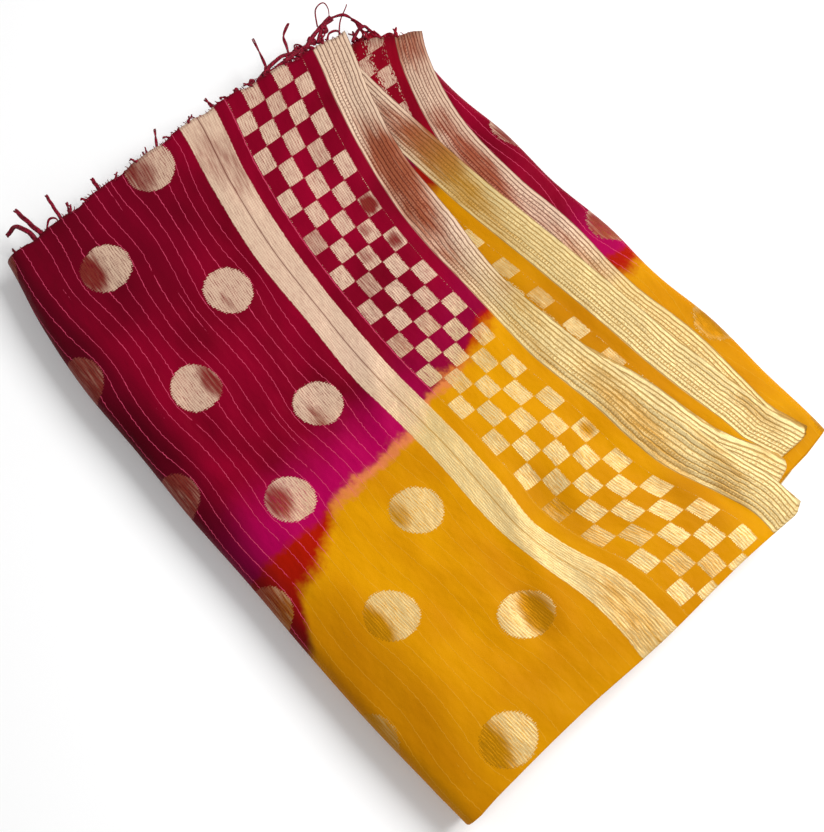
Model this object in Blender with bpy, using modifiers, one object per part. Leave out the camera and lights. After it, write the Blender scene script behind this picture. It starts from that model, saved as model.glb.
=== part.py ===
"""Folded polka dot dupatta: a long scarf folded six times across and then three times lengthwise.

The scarf is one sheet of cloth. Its crosswise folds stack six leaves back and forth along X,
and its lengthwise folds lay that stack in three passes across Y. A knotless thread fringe hangs
from both cut ends, which lie at the -X end of the packet.
"""
import math
import random

import bmesh
import bpy
import numpy as np

MM = 0.001

# Cloth and layers, in millimetres.
CLOTH_THICK = 1.0
LEAF_PITCH = 1.5
LEAVES = 6
PASS_GAP = 0.5
STACK = LEAVES * LEAF_PITCH
PASS_PITCH = STACK + PASS_GAP
BOTTOM_LEVEL = CLOTH_THICK / 2 + (LEAVES - 1) / 2 * LEAF_PITCH
FOLD_REACH = PASS_PITCH / 2 + (LEAVES - 1) / 2 * LEAF_PITCH + CLOTH_THICK / 2

# Mesh stations, in millimetres and counts.
LENGTH_STATIONS = (-152, -112, -74, -37, 0, 41, 82, 123, 164)
WIDTH_STATIONS = (50, 5, -40, -85, -122)
MIDDLE_STATIONS = (-122, -85, -40, 5, 50, 95, 117)
FOLD_STEPS = 5
TURN_STEPS = 3
UNDER_EDGE_INSET = 4.0

# Outline of the packet at stations along X: the two lengthwise folds, and the selvedge that each
# leaf of the top pass shows. Leaf 1 lies on top.
OUTLINE_COLUMNS = ("x", "left_fold", "right_fold", "edge_1", "edge_2", "edge_3", "edge_4", "edge_5", "edge_6")
OUTLINE_ROWS = (
    (-200, -148, 142, 111, 96, 96, 103, 102, 170),
    (-150, -155, 143, 94, 84, 84, 90, 103, 143),
    (-100, -158, 145, 81, 72, 72, 76, 106, 129),
    (-50, -156, 148, 77, 66, 68, 70, 110, 128),
    (0, -155, 151, 72.5, 62, 68, 66, 117, 133),
    (50, -152, 154, 78, 68, 77, 74, 123, 133),
    (100, -150, 157, 87, 80, 94, 92, 128, 140),
    (150, -147, 159, 96, 92, 105, 104, 137, 141),
    (200, -142, 157, 104, 105, 128, 128, 148, 149),
    (240, -138, 155, 110, 112, 132, 132, 151, 151),
)
OUTLINE = {name: [row[i] for row in OUTLINE_ROWS] for i, name in enumerate(OUTLINE_COLUMNS)}

# Where each leaf ends along X, at stations across Y: the two cut ends and the five end folds.
END_COLUMNS = (
    "y", "cut_1", "fold_12", "fold_23", "fold_34", "fold_45", "fold_56", "cut_6", "under_12", "under_56",
)
END_ROWS = (
    (-160, -192, 224, -186, 212, -186, 208, -181, 221, 205),
    (-120, -190, 219, -187, 208, -185, 204, -180, 216, 201),
    (-60, -194, 216, -188, 206, -186, 202, -180, 213, 199),
    (0, -197, 216, -188, 203, -186, 199, -179, 212, 196),
    (60, -194, 213, -188, 198, -186, 193, -178, 207, 193),
    (106, -190, 213, -188, 195, -185, 186, -182, 198, 194),
    (116, -190, 213, -188, 192, -185, 185, -181, 196, 194),
    (135, -190, 212, -187, 189, -185, 185, -171, 192, 193),
    (160, -190, 212, -186, 188, -184, 185, -156, 187, 189),
)
ENDS = {name: [row[i] for row in END_ROWS] for i, name in enumerate(END_COLUMNS)}
UNDER_PASS_PULL_IN = 3.0

# The tables' zero point, moved to the middle of the packet's bounding box.
MIDDLE_X = -2.68
MIDDLE_Y = 0.51

# Soft unevenness of the pile: how much thicker it lies in its swells.
SWELL = 0.045
SWELL_LENGTH_X = 52.0
SWELL_LENGTH_Y = 43.0

# Fringe, in millimetres.
STRIP_GAP = 0.3
STRIP_WIDTH = 4.0
STRAND_WIDTH = 2.4
STRAND_TIP_WIDTH = 1.7
STRAND_LENGTHS = (17.0, 26.0)
STRAND_SPACING = {"top": 9.6, "middle": 13.0, "bottom": 13.0}
STRAND_STEPS = 3
STRAND_SWAY = 2.6
STRAND_DROOP = 0.28
DROOP_LENGTH = 25.0

# Colours.
CRIMSON = (0.32, 0.006, 0.045, 1.0)
WINE_THREAD = (0.20, 0.008, 0.030, 1.0)
ROSE_THREAD = (0.42, 0.030, 0.075, 1.0)


def smooth_table(stations, values, at):
    """Value of a table column between its stations, on a curve through them."""
    at = min(max(at, stations[0]), stations[-1])
    i = min(int(np.searchsorted(stations, at, side="right")) - 1, len(stations) - 2)
    before, start = values[max(i - 1, 0)], values[i]
    end, after = values[i + 1], values[min(i + 2, len(values) - 1)]
    t = (at - stations[i]) / (stations[i + 1] - stations[i])
    bend = 2 * before - 5 * start + 4 * end - after
    twist = 3 * (start - end) + after - before
    return 0.5 * (2 * start + (end - before) * t + bend * t * t + twist * t ** 3)


def outline(name, x):
    """An outline at x, straight between the mesh stations so that all the leaves share its corners."""
    stations = (OUTLINE["x"][0] - 20,) + LENGTH_STATIONS + (OUTLINE["x"][-1],)
    values = [smooth_table(OUTLINE["x"], OUTLINE[name], station) for station in stations]
    return float(np.interp(x, stations, values))


def leaf_level(leaf):
    """Height of a leaf from the middle of its stack. Leaf 1 is the highest in the top pass."""
    return ((LEAVES + 1) / 2 - leaf) * LEAF_PITCH


def end_of_leaf(name, y, passes_down):
    """X of a cut end or end fold. The end folds of the two lower passes have their own line, mostly further in."""
    x = smooth_table(ENDS["y"], ENDS[name], y)
    if name.startswith("cut"):
        return x
    under = x - math.copysign(UNDER_PASS_PULL_IN, x)
    under_name = name.replace("fold", "under")
    if under_name in ENDS:
        under = smooth_table(ENDS["y"], ENDS[under_name], y)
    return x + (under - x) * min(passes_down, 1)


def swell(x, y):
    wave = math.sin(x / SWELL_LENGTH_X + 0.7) * math.cos(y / SWELL_LENGTH_Y - 0.5)
    return 1 + SWELL * (1 + wave)


def flat_run(ys, level, side, passes_down):
    """Stations of one flat pass: y, z, the two parts of its upper side, and its place in the pile."""
    return [(y, level, 0.0, side, passes_down) for y in ys]


def fold_run(centre, level, out, side, passes_down):
    """Stations inside a half-circle fold at y = centre. It opens towards -out."""
    stations = []
    for step in range(1, FOLD_STEPS):
        angle = math.pi * step / FOLD_STEPS
        y = centre + out * PASS_PITCH / 2 * math.sin(angle)
        z = level + PASS_PITCH / 2 * math.cos(angle)
        normal = (side * out * math.sin(angle), side * math.cos(angle))
        stations.append((y, z, normal[0], normal[1], passes_down + step / FOLD_STEPS))
    return stations


def lengthwise_path(x, edge):
    """The three passes and two folds across Y, at one place x, from the top selvedge down."""
    levels = [BOTTOM_LEVEL + PASS_PITCH * i for i in (2, 1, 0)]
    left = outline("left_fold", x) + FOLD_REACH
    right = outline("right_fold", x) - FOLD_REACH
    halfway = (edge + WIDTH_STATIONS[0]) / 2
    path = flat_run((edge, halfway) + WIDTH_STATIONS + (left,), levels[0], 1, 0)
    path += fold_run(left, (levels[0] + levels[1]) / 2, -1, 1, 0)
    path += flat_run((left,) + MIDDLE_STATIONS + (right,), levels[1], -1, 1)
    path += fold_run(right, (levels[1] + levels[2]) / 2, 1, -1, 1)
    under_edge = left - FOLD_REACH + UNDER_EDGE_INSET
    path += flat_run((right,) + MIDDLE_STATIONS[::-1] + (under_edge,), levels[2], 1, 2)
    return path


def place(x, station, level):
    """A point of the leaf at one height of the stack, with the pile's soft swells."""
    y = station[0] + level * station[2]
    z = station[1] + level * station[3]
    return ((x - MIDDLE_X) * MM, (y - MIDDLE_Y) * MM, z * swell(x, y) * MM)


def leaf_path(leaves, x):
    """Stations across Y on a leaf, or midway between two leaves that share an end fold."""
    edge = sum(outline("edge_%d" % leaf, x) for leaf in leaves) / len(leaves)
    return lengthwise_path(x, edge)


def leaf_row(leaves, x_at, level, x_nominal):
    """One row of points across Y on a leaf. x_at gives X at each station, and the outlines follow it."""
    row = []
    for j, station in enumerate(leaf_path(leaves, x_nominal)):
        x = x_at(station)
        row.append(place(x, leaf_path(leaves, x)[j], level))
    return row


def end_row(name, leaves, level, inset):
    """A row at a cut end or end fold, a little inside it, or outside it where inset is negative."""
    nominal = smooth_table(ENDS["y"], ENDS[name], 0)
    step = math.copysign(1, nominal) * inset

    def x_at(station):
        return end_of_leaf(name, station[0], station[4]) - step

    return leaf_row(leaves, x_at, level, nominal - step)


def cloth_rows():
    """Rows of the whole sheet from its upper cut end to its lower one."""
    radius = LEAF_PITCH / 2
    rows = [end_row("cut_1", (1,), leaf_level(1), 0.0)]
    for leaf in range(1, LEAVES + 1):
        stations = LENGTH_STATIONS if leaf % 2 else LENGTH_STATIONS[::-1]
        for x in stations:
            rows.append(leaf_row((leaf,), lambda station, x=x: x, leaf_level(leaf), x))
        if leaf == LEAVES:
            continue
        name = "fold_%d%d" % (leaf, leaf + 1)
        middle = (leaf_level(leaf) + leaf_level(leaf + 1)) / 2
        for step in range(TURN_STEPS + 1):
            angle = math.pi * step / TURN_STEPS
            inset = radius * (1 - math.sin(angle))
            rows.append(end_row(name, (leaf, leaf + 1), middle + radius * math.cos(angle), inset))
    rows.append(end_row("cut_6", (6,), leaf_level(6), 0.0))
    return rows


def new_material(name, colour):
    material = bpy.data.materials.new(name)
    material.use_nodes = True
    shader = material.node_tree.nodes["Principled BSDF"]
    shader.inputs["Base Color"].default_value = colour
    shader.inputs["Roughness"].default_value = 0.55
    shader.inputs["Metallic"].default_value = 0.0
    return material


def sheet_object(name, mesh, material, collection):
    """An open surface given the cloth's thickness on both sides."""
    mesh.materials.append(material)
    piece = bpy.data.objects.new(name, mesh)
    collection.objects.link(piece)
    solidify = piece.modifiers.new("Cloth thickness", "SOLIDIFY")
    solidify.thickness = CLOTH_THICK * MM
    solidify.offset = 0.0
    solidify.use_even_offset = True
    return piece


def loft(name, rows):
    """An open surface through rows that have the same number of points."""
    across = len(rows[0])
    points = [point for row in rows for point in row]
    faces = []
    for i in range(len(rows) - 1):
        for j in range(across - 1):
            corner = i * across + j
            faces.append((corner, corner + across, corner + across + 1, corner + 1))
    mesh = bpy.data.meshes.new(name)
    mesh.from_pydata(points, [], faces)
    return mesh


def between(a, b, t):
    return tuple(p + (q - p) * t for p, q in zip(a, b))


def strand_points(root, sway, length):
    """Centre line of a strand, out along -X and drooping more the higher its root lies."""
    points = []
    for step in range(1, STRAND_STEPS + 1):
        t = step / STRAND_STEPS
        reach = length * t
        drop = STRAND_DROOP * (root[2] - CLOTH_THICK / 2) * (reach / DROOP_LENGTH) ** 2
        points.append((root[0] - reach, root[1] + sway * t * t, root[2] - drop))
    return points


def fringe_mesh(name, cut, leaf, seed):
    """A comb: a narrow strip along a cut end, with flat strands that grow from its outer edge."""
    dice = random.Random(seed)
    inner = end_row(cut, (leaf,), leaf_level(leaf), -STRIP_GAP)
    outer = end_row(cut, (leaf,), leaf_level(leaf), -STRIP_GAP - STRIP_WIDTH)
    path = leaf_path((leaf,), ENDS[cut][0])
    passes = {0: "top", 1: "middle", 2: "bottom"}
    comb = bmesh.new()
    inner_verts = [comb.verts.new(inner[0])]
    outer_verts = [comb.verts.new(outer[0])]
    count = 0
    for j in range(len(path) - 1):
        flat = path[j][4] == path[j + 1][4]
        run = abs(path[j + 1][0] - path[j][0])
        spacing = STRAND_SPACING[passes[int(path[j][4])]]
        slots = int((run - STRAND_WIDTH) / spacing) if flat else 0
        cuts = []
        for slot in range(slots):
            middle = (slot + 0.5 + dice.uniform(-0.1, 0.1)) / slots
            half = STRAND_WIDTH / 2 / run
            cuts += [(middle - half, None), (middle + half, count + slot)]
        for t, strand in cuts + [(1.0, None)]:
            inner_verts.append(comb.verts.new(between(inner[j], inner[j + 1], t)))
            outer_verts.append(comb.verts.new(between(outer[j], outer[j + 1], t)))
            comb.faces.new((inner_verts[-2], inner_verts[-1], outer_verts[-1], outer_verts[-2]))
            if strand is not None:
                grow_strand(comb, outer_verts[-2], outer_verts[-1], strand, dice)
        count += slots
    mesh = bpy.data.meshes.new(name)
    comb.to_mesh(mesh)
    comb.free()
    return mesh


def grow_strand(comb, first, second, number, dice):
    """One flat strand from two neighbouring points of the strip's outer edge."""
    root = [(p + q) / 2 / MM for p, q in zip(first.co, second.co)]
    along = 1 if second.co.y > first.co.y else -1
    sway = STRAND_SWAY * math.sin(0.8 * number) + dice.uniform(-1.0, 1.0)
    length = dice.uniform(*STRAND_LENGTHS)
    pair = (first, second)
    for step, (x, y, z) in enumerate(strand_points(root, sway, length), start=1):
        taper = STRAND_WIDTH + (STRAND_TIP_WIDTH - STRAND_WIDTH) * step / STRAND_STEPS
        half = along * taper / 2
        new_pair = [comb.verts.new((x * MM, (y - half) * MM, z * MM)), comb.verts.new((x * MM, (y + half) * MM, z * MM))]
        comb.faces.new((pair[0], pair[1], new_pair[1], new_pair[0]))
        pair = new_pair


for leftover in list(bpy.data.objects):
    bpy.data.objects.remove(leftover, do_unlink=True)

dupatta = bpy.data.collections.new("polka_dot_dupatta")
bpy.context.scene.collection.children.link(dupatta)

sheet_object("dupatta_cloth", loft("dupatta_cloth", cloth_rows()), new_material("crimson_silk", CRIMSON), dupatta)
sheet_object("fringe_top_end", fringe_mesh("fringe_top_end", "cut_1", 1, 3),
             new_material("wine_thread", WINE_THREAD), dupatta)
sheet_object("fringe_under_end", fringe_mesh("fringe_under_end", "cut_6", 6, 3),
             new_material("rose_thread", ROSE_THREAD), dupatta)
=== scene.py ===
"""Folded polka dot dupatta, dressed: its dyed and woven cloth, its thread fringes, light and camera."""
import math
import random

import bpy
import numpy as np
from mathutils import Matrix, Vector


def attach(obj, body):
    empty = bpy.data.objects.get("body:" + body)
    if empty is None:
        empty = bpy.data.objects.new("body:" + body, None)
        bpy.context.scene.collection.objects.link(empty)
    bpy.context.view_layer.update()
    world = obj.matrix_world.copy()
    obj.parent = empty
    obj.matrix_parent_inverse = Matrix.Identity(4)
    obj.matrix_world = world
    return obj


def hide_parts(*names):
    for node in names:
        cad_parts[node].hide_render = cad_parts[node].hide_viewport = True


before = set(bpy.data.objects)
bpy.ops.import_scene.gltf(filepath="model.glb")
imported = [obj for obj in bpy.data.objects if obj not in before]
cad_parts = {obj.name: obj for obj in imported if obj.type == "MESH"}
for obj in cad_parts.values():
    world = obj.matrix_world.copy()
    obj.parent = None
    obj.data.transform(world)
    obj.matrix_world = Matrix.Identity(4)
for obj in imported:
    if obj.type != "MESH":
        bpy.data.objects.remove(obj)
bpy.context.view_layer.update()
bpy.ops.object.select_all(action="DESELECT")

# Camera, floor and light. The packet lies on a plain pale floor and is seen from well above its
# long folded side, under a large soft light that comes from beyond its far right side.
CAMERA_AZIMUTH = 50.5
CAMERA_ELEVATION = 71.0
CAMERA_DISTANCE = 0.6095
CAMERA_TARGET = Vector((0.0365, -0.0222, 0.0188))
CAMERA_LENS = 46.44
FLOOR_COLOUR = (0.94, 0.94, 0.94, 1.0)
FLOOR_SIZE = 6.0
FLOOR_DROP = 0.0002
SKY_STRENGTH = 0.36
LIGHTS = (
    # name, place, watts, size
    ("key_light", (0.25, 0.80, 1.00), 18.0, 0.7),
    ("fill_light", (-0.85, -0.55, 0.95), 2.5, 1.2),
    ("end_light", (0.9, -0.7, 0.8), 3.0, 1.0),
)


def towards(azimuth, elevation):
    """Unit vector from the object to a camera at this azimuth and elevation, in degrees."""
    a, e = math.radians(azimuth), math.radians(elevation)
    return Vector((math.sin(a) * math.cos(e), -math.cos(a) * math.cos(e), math.sin(e)))


view = towards(CAMERA_AZIMUTH, CAMERA_ELEVATION)
bpy.ops.object.camera_add(location=CAMERA_TARGET + view * CAMERA_DISTANCE)
camera = bpy.context.object
camera.rotation_euler = view.to_track_quat("Z", "Y").to_euler()
camera.data.sensor_fit = "HORIZONTAL"
camera.data.sensor_width = 36.0
camera.data.lens = CAMERA_LENS
bpy.context.scene.camera = camera

bpy.ops.mesh.primitive_plane_add(size=FLOOR_SIZE, location=(0, 0, -FLOOR_DROP))
floor = bpy.context.object
floor.name = "pale_floor"
floor_material = bpy.data.materials.new("pale_floor")
floor_material.use_nodes = True
floor_shader = floor_material.node_tree.nodes["Principled BSDF"]
floor_shader.inputs["Base Color"].default_value = FLOOR_COLOUR
floor_shader.inputs["Roughness"].default_value = 0.9
floor.data.materials.append(floor_material)

for light_name, place, watts, size in LIGHTS:
    bpy.ops.object.light_add(type="AREA", location=place)
    light = bpy.context.object
    light.name = light_name
    light.data.energy = watts
    light.data.size = size
    light.rotation_euler = (Vector(place) - CAMERA_TARGET).to_track_quat("Z", "Y").to_euler()

world = bpy.data.worlds.new("soft_studio")
world.use_nodes = True
world.node_tree.nodes["Background"].inputs["Color"].default_value = (1.0, 1.0, 1.0, 1.0)
world.node_tree.nodes["Background"].inputs["Strength"].default_value = SKY_STRENGTH
bpy.context.scene.world = world
bpy.context.scene.view_settings.view_transform = "Standard"

# The sheet: dyed silk with a woven metallic pattern, one continuous cloth. It is folded back and
# forth into six leaves along X, and the stack is laid lengthwise in three passes across Y.
MM = 0.001
CLOTH_THICK = 0.6
LEAF_PITCH = 1.5
LEAVES = 6
PASS_PITCH = LEAVES * LEAF_PITCH + 0.5
BOTTOM_LEVEL = 0.5 + (LEAVES - 1) / 2 * LEAF_PITCH
FOLD_REACH = PASS_PITCH / 2 + (LEAVES - 1) / 2 * LEAF_PITCH + 0.5
UNDER_EDGE_INSET = 4.0
UNDER_PASS_PULL_IN = 3.0

# How far the cut ends reach past the line in the table, and how they wave.
END_STRIP = 4.3
CUT_WAVE = 0.8
CUT_RIPPLE = 0.4

# The middle of the packet's box, in the millimetres of the tables.
MIDDLE_X = -2.68
MIDDLE_Y = 0.51

# The height of the middle of each pass: the top one, the middle one and the bottom one.
PASS_LEVELS = [BOTTOM_LEVEL + PASS_PITCH * number for number in (2, 1, 0)]

# Seen from above, in millimetres: the lengthwise folds and the free selvedge of each leaf, as Y at places
# along X, and then the cut ends and end folds, as X at places along Y.
OUTLINE_COLUMNS = (
    "x", "left_fold", "right_fold", "edge_1", "edge_2", "edge_3", "edge_4", "edge_5", "edge_6",
)
OUTLINE_ROWS = (
    (-200, -148, 142, 111, 96, 96, 103, 102, 170),
    (-150, -155, 143, 94, 84, 84, 90, 103, 143),
    (-100, -158, 145, 81, 72, 72, 76, 106, 129),
    (-50, -156, 148, 77, 66, 68, 70, 110, 128),
    (0, -155, 151, 72.5, 62, 68, 66, 117, 133),
    (50, -152, 154, 78, 68, 77, 74, 123, 133),
    (100, -150, 157, 87, 80, 94, 92, 128, 140),
    (150, -147, 159, 96, 92, 105, 104, 137, 141),
    (200, -142, 157, 104, 105, 128, 128, 148, 149),
    (240, -138, 155, 110, 112, 132, 132, 151, 151),
)
END_COLUMNS = (
    "y", "cut_1", "fold_12", "fold_23", "fold_34", "fold_45", "fold_56", "cut_6", "under_12", "under_56",
)
END_ROWS = (
    (-160, -192, 224, -186, 212, -186, 208, -181, 221, 205),
    (-120, -190, 219, -187, 208, -185, 204, -180, 216, 201),
    (-60, -194, 216, -188, 206, -186, 202, -180, 213, 199),
    (0, -197, 216, -188, 203, -186, 199, -179, 212, 196),
    (60, -194, 213, -188, 198, -186, 193, -178, 207, 193),
    (106, -190, 213, -188, 195, -185, 186, -182, 198, 194),
    (116, -190, 213, -188, 192, -185, 185, -181, 196, 194),
    (135, -190, 212, -187, 189, -185, 185, -171, 192, 193),
    (160, -190, 212, -186, 188, -184, 185, -156, 187, 189),
)

# How far the free edges curl out or in beside the folded tips, and how round the tips' corners are.
TIP_COLUMNS = ("x", "edge_1", "edge_3", "edge_5")
TIP_ROWS = (
    (140, 0, 0, 0),
    (150, 0, -0.5, -1),
    (160, 0.5, -0.5, -2),
    (170, 1.5, 0, -0.5),
    (180, 3, -0.5, 0.8),
    (190, 4.5, -1.5, 0.5),
    (200, 4, -1.5, 0),
    (210, 2.5, -1.5, 0),
    (220, 1.5, -1.5, 0),
)
TIP_RADIUS = 8.0
ROUND_FOLDS = ("fold_12", "fold_34", "fold_56")


def table(columns, rows):
    return {name: np.array([row[i] for row in rows], float) for i, name in enumerate(columns)}


def curve_through(stations, values, at):
    """A table column read on a smooth curve through its values."""
    at = np.clip(np.asarray(at, float), stations[0], stations[-1])
    i = np.clip(np.searchsorted(stations, at, side="right") - 1, 0, len(stations) - 2)
    before, start = values[np.maximum(i - 1, 0)], values[i]
    end, after = values[i + 1], values[np.minimum(i + 2, len(values) - 1)]
    t = (at - stations[i]) / (stations[i + 1] - stations[i])
    bend = 2 * before - 5 * start + 4 * end - after
    twist = 3 * (start - end) + after - before
    return 0.5 * (2 * start + (end - before) * t + bend * t * t + twist * t ** 3)


OUTLINE = table(OUTLINE_COLUMNS, OUTLINE_ROWS)
ENDS = table(END_COLUMNS, END_ROWS)
TIPS = table(TIP_COLUMNS, TIP_ROWS)
FOLD_NAMES = END_COLUMNS[1:8]

# How finely each stretch across Y is divided: top pass, left fold, middle pass, right fold, bottom pass.
STRETCH_STEPS = (78, 10, 22, 10, 14)
EDGE_CROWDING = 1.2
STRETCH = np.concatenate([[0]] + [[k] * steps for k, steps in enumerate(STRETCH_STEPS)])
STRETCH_T = np.concatenate([[0.0]] + [np.arange(1, steps + 1) / steps for steps in STRETCH_STEPS])
STRETCH_T = np.where(STRETCH == 0, STRETCH_T ** EDGE_CROWDING, STRETCH_T)
TOP_DEPTH = np.zeros(len(STRETCH))
PASS_DEPTH = np.choose(STRETCH, [TOP_DEPTH, STRETCH_T, TOP_DEPTH + 1, 1 + STRETCH_T, TOP_DEPTH + 2])

# How many steps each leaf takes along X, and how many each end fold takes.
LEAF_ROWS = {1: 140, 2: 26, 3: 30, 4: 26, 5: 52, 6: 52}
FOLD_ROWS = 5

# Soft creases of the pile: where each lies, its angle in degrees, how far it reaches along and across,
# and its height in millimetres.
RELIEF_COLUMNS = ("x", "y", "angle", "reach", "width", "height")
RELIEF_ROWS = (
    (-130, -95, 8, 70, 9, 1.3),
    (-40, -118, -4, 90, 8, -1.4),
    (60, -120, 5, 80, 9, 1.3),
    (150, -75, 20, 60, 8, -1.8),
    (160, -42, -12, 34, 9, -1.9),
    (120, -20, -12, 55, 7, 1.5),
    (60, -48, 18, 45, 8, -1.3),
    (10, -30, -20, 60, 7, 1.2),
    (-70, -45, -6, 80, 8, -1.2),
    (-150, -20, 10, 45, 7, 1.3),
    (122, 6, 16, 30, 8, -1.9),
    (120, 48, 14, 60, 7, -1.6),
    (172, 76, 22, 34, 6, -3.0),
    (150, 92, 16, 50, 6, 2.2),
    (95, 66, 12, 50, 5, 1.4),
    (-10, 58, 2, 60, 5, -1.8),
    (-90, 62, -10, 50, 6, -1.8),
    (-150, 80, -14, 45, 6, -1.4),
    (40, 92, 8, 70, 6, -1.5),
    (-60, 112, 4, 60, 6, 1.6),
    (-146, 126, 60, 10, 3, -2.0),
    (130, 122, 14, 50, 6, -1.8),
)
STACK_TOP = (LEAVES - 1) / 2 * LEAF_PITCH

# The pile's wide swells, its creases' wander, its fine ripple, and its slack left side and folded end.
SWELL = 0.045
SWELL_ALONG = 52.0
SWELL_ACROSS = 43.0
CREASE_WANDER = 2.5
WANDER_LENGTH = 19.0
RIPPLE = 0.25
SLACK_SIDE = -104
SLACK_SIDE_REACH = 56.0
SLACK_SIDE_DROP = 0.21
SLACK_END = 175
SLACK_END_REACH = 50.0
SLACK_END_DROP = 0.10


def relief(x, y):
    """How much higher or lower the pile lies: its swells, its soft creases and its slack edges."""
    height = 1 + SWELL * (1 + np.sin(x / SWELL_ALONG + 0.7) * np.cos(y / SWELL_ACROSS - 0.5))
    pile = PASS_LEVELS[0] + STACK_TOP
    for crease in RELIEF_ROWS:
        spot = dict(zip(RELIEF_COLUMNS, crease))
        angle = math.radians(spot["angle"])
        along = (x - spot["x"]) * math.cos(angle) + (y - spot["y"]) * math.sin(angle)
        across = (y - spot["y"]) * math.cos(angle) - (x - spot["x"]) * math.sin(angle)
        across = across + CREASE_WANDER * np.sin(along / WANDER_LENGTH)
        fade = np.exp(-(along / spot["reach"]) ** 2 - (across / spot["width"]) ** 2)
        height += spot["height"] / pile * fade
    height += RIPPLE / pile * np.sin(x / 7.1 + y / 19.0) * np.sin(y / 8.3 - x / 23.0)
    side_slack = np.clip((SLACK_SIDE - y) / SLACK_SIDE_REACH, 0, 1) ** 2
    end_slack = np.clip((x - SLACK_END) / SLACK_END_REACH, 0, 1) ** 2
    return height - SLACK_SIDE_DROP * side_slack - SLACK_END_DROP * end_slack


def leaf_level(leaf):
    return ((LEAVES + 1) / 2 - leaf) * LEAF_PITCH


# How the lengthwise fold on the right swells in and out along its length.
BULGE = 1.2
BULGE_START = -75
BULGE_PITCH = 88.0


def lay_across(x, edge, level):
    """Y and height of one row of the sheet across the three passes, at the places x."""
    right_bulge = BULGE * np.cos((x - BULGE_START) * 2 * math.pi / BULGE_PITCH)
    left = curve_through(OUTLINE["x"], OUTLINE["left_fold"], x) + FOLD_REACH
    right = curve_through(OUTLINE["x"], OUTLINE["right_fold"], x) + right_bulge - FOLD_REACH
    under = left - FOLD_REACH + UNDER_EDGE_INSET
    top, middle, bottom = PASS_LEVELS
    turn = math.pi * STRETCH_T
    outer, inner = PASS_PITCH / 2 + level, PASS_PITCH / 2 - level
    y = np.choose(STRETCH, [
        edge + (left - edge) * STRETCH_T,
        left - outer * np.sin(turn),
        left + (right - left) * STRETCH_T,
        right + inner * np.sin(turn),
        right + (under - right) * STRETCH_T,
    ])
    z = np.choose(STRETCH, [
        top + level + 0 * x,
        (top + middle) / 2 + outer * np.cos(turn),
        middle - level + 0 * x,
        (middle + bottom) / 2 + inner * np.cos(turn),
        bottom + level + 0 * x,
    ])
    return y, z


def free_edge(leaf, x):
    """Y of the free selvedge of a leaf, with the curl of its folded tip."""
    tip = "edge_%d" % (leaf if leaf % 2 else leaf - 1)
    edge = curve_through(OUTLINE["x"], OUTLINE["edge_%d" % leaf], x)
    return edge + curve_through(TIPS["x"], TIPS[tip], x)


def end_x(name, y, edge):
    """X of a cut end or end fold at the places y of one row, with rounded corners at the folds."""
    x = curve_through(ENDS["y"], ENDS[name], y)
    if name.startswith("cut"):
        return x - END_STRIP + CUT_WAVE * np.sin(y / 5.3 + 0.7) + CUT_RIPPLE * np.sin(y / 2.6)
    if name in ROUND_FOLDS:
        depth = np.clip(np.where(STRETCH == 0, edge - y, TIP_RADIUS), 0, TIP_RADIUS)
        x = x - TIP_RADIUS + np.sqrt(TIP_RADIUS ** 2 - (TIP_RADIUS - depth) ** 2)
    under = x - np.sign(x) * UNDER_PASS_PULL_IN
    under_name = name.replace("fold", "under")
    if under_name in ENDS:
        under = curve_through(ENDS["y"], ENDS[under_name], y)
    return x + (under - x) * np.minimum(PASS_DEPTH, 1)


def sheet_row(leaves, level, start, finish, blend, inset=0.0):
    """One row across Y, part of the way from one end line of a leaf to the other."""
    x = np.full(len(STRETCH), (1 - blend) * ENDS[start][3] + blend * ENDS[finish][3])
    for _ in range(2):
        edge = sum(free_edge(leaf, x) for leaf in leaves) / len(leaves)
        y, z = lay_across(x, edge, level)
        x = (1 - blend) * end_x(start, y, edge) + blend * end_x(finish, y, edge)
        x = x - np.sign(x) * inset
    edge = sum(free_edge(leaf, x) for leaf in leaves) / len(leaves)
    y, z = lay_across(x, edge, level)
    return x, y, z


# The woven pattern's own measures, from the selvedge inwards, and where it lies on the top leaf.
BORDER_WIDE = 22.5
FIELD_START = 30.5
FIELD_CELLS = 5
CELL_ACROSS = 10.2
CELL_ALONG = 13.925
CELL_SHIFT = 3.5
BAND_START = 89.5
BAND_END = 110.5
BAND_CENTRE_LINE = (99.4, 100.1)
DOT_COLUMN = 137.0
DOT_SPACING = 51.0
DOT_STEP = 88.0
DOT_RADIUS = 14.4
LAYOUT_COLUMNS = ("x", "border_in", "band_right", "band_left", "dots_2", "dots_1", "phase_2", "phase_1")
LAYOUT_ROWS = (
    (-205, 87, 11, -15, -43, -102, -0.13, -0.06),
    (-150, 71, -2, -25, -51, -105, 0.43, 0.50),
    (-100, 59, -10, -32, -56.5, -107, 0.91, 1.02),
    (-50, 52.5, -14, -33.5, -59.5, -108, 1.46, 1.56),
    (0, 52.5, -15, -35, -60, -107, 2.03, 2.13),
    (50, 52.5, -12, -31, -58.5, -105.5, 2.63, 2.72),
    (75, 56, -11, -30, -57, -105, 2.93, 3.03),
    (100, 60, -11, -30, -55, -104, 3.23, 3.33),
    (125, 62, -12, -28, -52, -102.5, 3.55, 3.61),
    (150, 67, -5, -23, -49, -101, 3.87, 3.90),
    (175, 78, 5, -17, -45, -99, 4.18, 4.18),
    (200, 86, 9, -15, -42, -97, 4.49, 4.46),
    (225, 85, 10, -16, -40, -95, 4.80, 4.74),
)
LAYOUT = table(LAYOUT_COLUMNS, LAYOUT_ROWS)

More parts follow.
